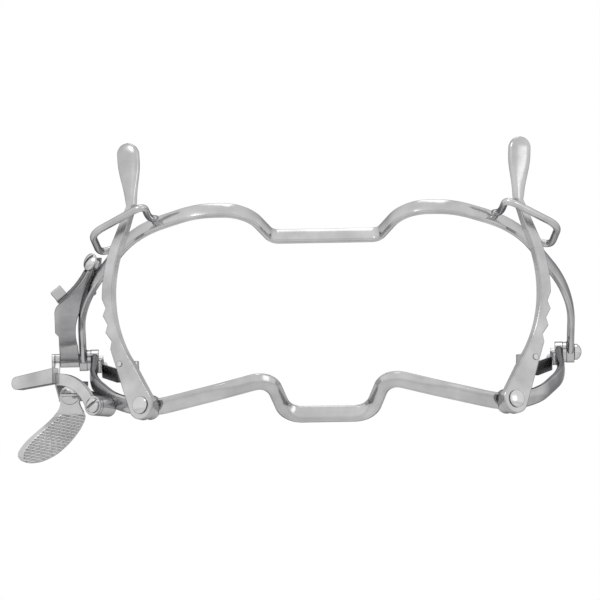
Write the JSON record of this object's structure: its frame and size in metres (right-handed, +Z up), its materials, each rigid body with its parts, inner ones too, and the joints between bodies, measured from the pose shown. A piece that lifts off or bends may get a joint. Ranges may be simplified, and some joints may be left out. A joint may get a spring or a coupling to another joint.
{
  "type": "mouth gag",
  "caption": "Steel two-bow mouth gag with side ratchet levers, wire bails and a sprung tongue-blade holder on the left.",
  "frame": {"origin": "middle of the under face of the lower tooth rest", "axes": "+Z up as worn by an upright patient, +X across the mouth to the right seen from the front, -Y to the surgeon's side"},
  "size_m": [0.1489, 0.0661, 0.0806],
  "materials": {
    "polished_steel": "polished",
    "satin_steel": "satin",
    "spring_steel": "satin",
    "fastener_steel": "polished"
  },
  "bodies": {
    "lower_frame": {"lower_bow": "polished_steel", "hinge_screw": "fastener_steel", "hinge_pin": "fastener_steel", "hinge_spacer_right": "satin_steel", "hinge_spacer_left": "satin_steel", "lever_rivet_right": "fastener_steel", "lever_rivet_left": "fastener_steel", "holder_web": "satin_steel", "foot_screw": "fastener_steel", "squeeze_tab": "satin_steel", "paddle_screw": "fastener_steel", "spring_screw_right": "fastener_steel", "spring_screw_left": "fastener_steel", "spring_block_right": "satin_steel", "spring_block_left": "satin_steel"},
    "upper_frame": {"upper_bow": "polished_steel", "bail_right": "polished_steel", "bail_left": "polished_steel", "holder_bracket": "satin_steel", "stand_off_upper": "satin_steel", "stand_off_lower": "satin_steel", "catch_screw": "fastener_steel"},
    "right_lever": {"ratchet_lever_right": "satin_steel", "lever_pin_right": "fastener_steel"},
    "left_lever": {"ratchet_lever_left": "satin_steel", "lever_pin_left": "fastener_steel"},
    "right_spring": {"lever_spring_right": "spring_steel"},
    "left_spring": {"lever_spring_left": "spring_steel"},
    "catch": {"catch_leaf": "spring_steel", "catch_peg": "satin_steel"},
    "paddle": {"thumb_paddle": "satin_steel"}
  },
  "joints": [
    {"name": "jaw_hinge", "type": "hinge", "parent": "lower_frame", "child": "upper_frame", "pos_m": [0, 0.05212, 0.0211], "axis": [-1, 0, 0], "range_deg": [-34, 0]},
    {"name": "right_lever_release", "type": "hinge", "parent": "lower_frame", "child": "right_lever", "pos_m": [0.047, -0.00435, 0.00457], "axis": [0.5588, -0.8256, 0.0785], "range_deg": [0, 2.5], "stiffness_Nm_per_rad": 0.05, "springref_deg": -6.88},
    {"name": "left_lever_release", "type": "hinge", "parent": "lower_frame", "child": "left_lever", "pos_m": [-0.047, -0.00435, 0.00457], "axis": [0.5588, 0.8256, -0.0785], "range_deg": [0, 2.5], "stiffness_Nm_per_rad": 0.05, "springref_deg": -6.88},
    {"name": "right_spring_flex", "type": "hinge", "parent": "lower_frame", "child": "right_spring", "pos_m": [0.0589, 0.04713, 0.0189], "axis": [0, 0, -1], "range_deg": [0, 0.8]},
    {"name": "left_spring_flex", "type": "hinge", "parent": "lower_frame", "child": "left_spring", "pos_m": [-0.0589, 0.04713, 0.0189], "axis": [0, 0, 1], "range_deg": [0, 0.8]},
    {"name": "catch_flex", "type": "hinge", "parent": "upper_frame", "child": "catch", "pos_m": [-0.06053, 0.02522, 0.04579], "axis": [0, 1, 0], "range_deg": [0, 4], "stiffness_Nm_per_rad": 0.02, "springref_deg": -5.73},
    {"name": "paddle_squeeze", "type": "hinge", "parent": "lower_frame", "child": "paddle", "pos_m": [-0.0667, 0.01642, 0.0091], "axis": [0, 1, 0], "range_deg": [0, 14], "stiffness_Nm_per_rad": 0.02, "springref_deg": -5.73}
  ],
  "couplings": [
    {"joint": "right_spring_flex", "follows": "right_lever_release", "ratio": 0.28},
    {"joint": "left_spring_flex", "follows": "left_lever_release", "ratio": 0.28}
  ]
}
